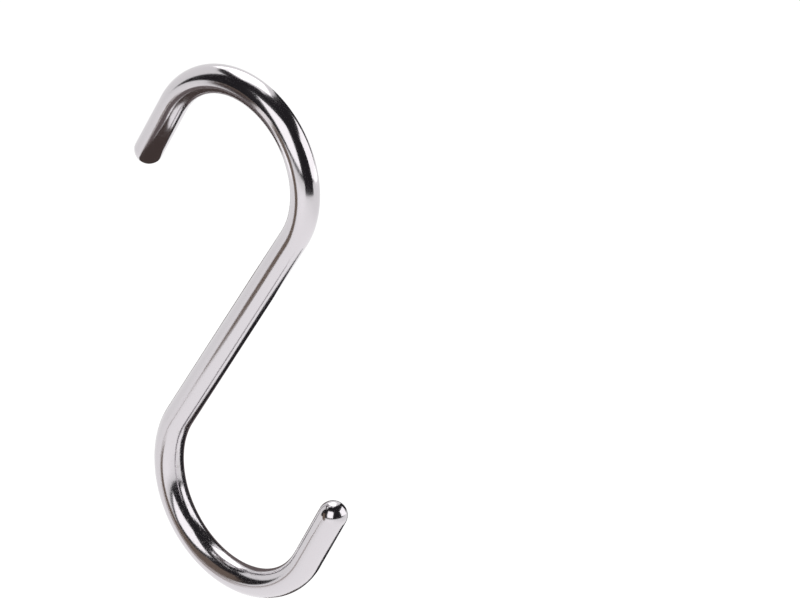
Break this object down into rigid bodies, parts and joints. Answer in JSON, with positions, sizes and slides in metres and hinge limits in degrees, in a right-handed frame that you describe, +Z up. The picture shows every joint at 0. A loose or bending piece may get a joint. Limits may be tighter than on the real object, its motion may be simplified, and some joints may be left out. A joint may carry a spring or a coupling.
{
  "type": "s hook",
  "caption": "Polished round steel wire bent into an S: one bend hangs over a rail or rod, the other carries what is hung, and both ends are ground to smooth domes.",
  "frame": {"origin": "the point inside the top of the upper bend that rests on the rail, in the middle of the wire's thickness", "axes": "+Z up as the hook hangs, the rail along Y, and +X towards the side on which the lower bend opens"},
  "size_m": [0.0417, 0.0044, 0.087],
  "materials": {
    "polished_steel": "mirror polished stainless steel"
  },
  "bodies": {
    "root": {"wire_hook": "polished_steel"}
  },
  "joints": []
}
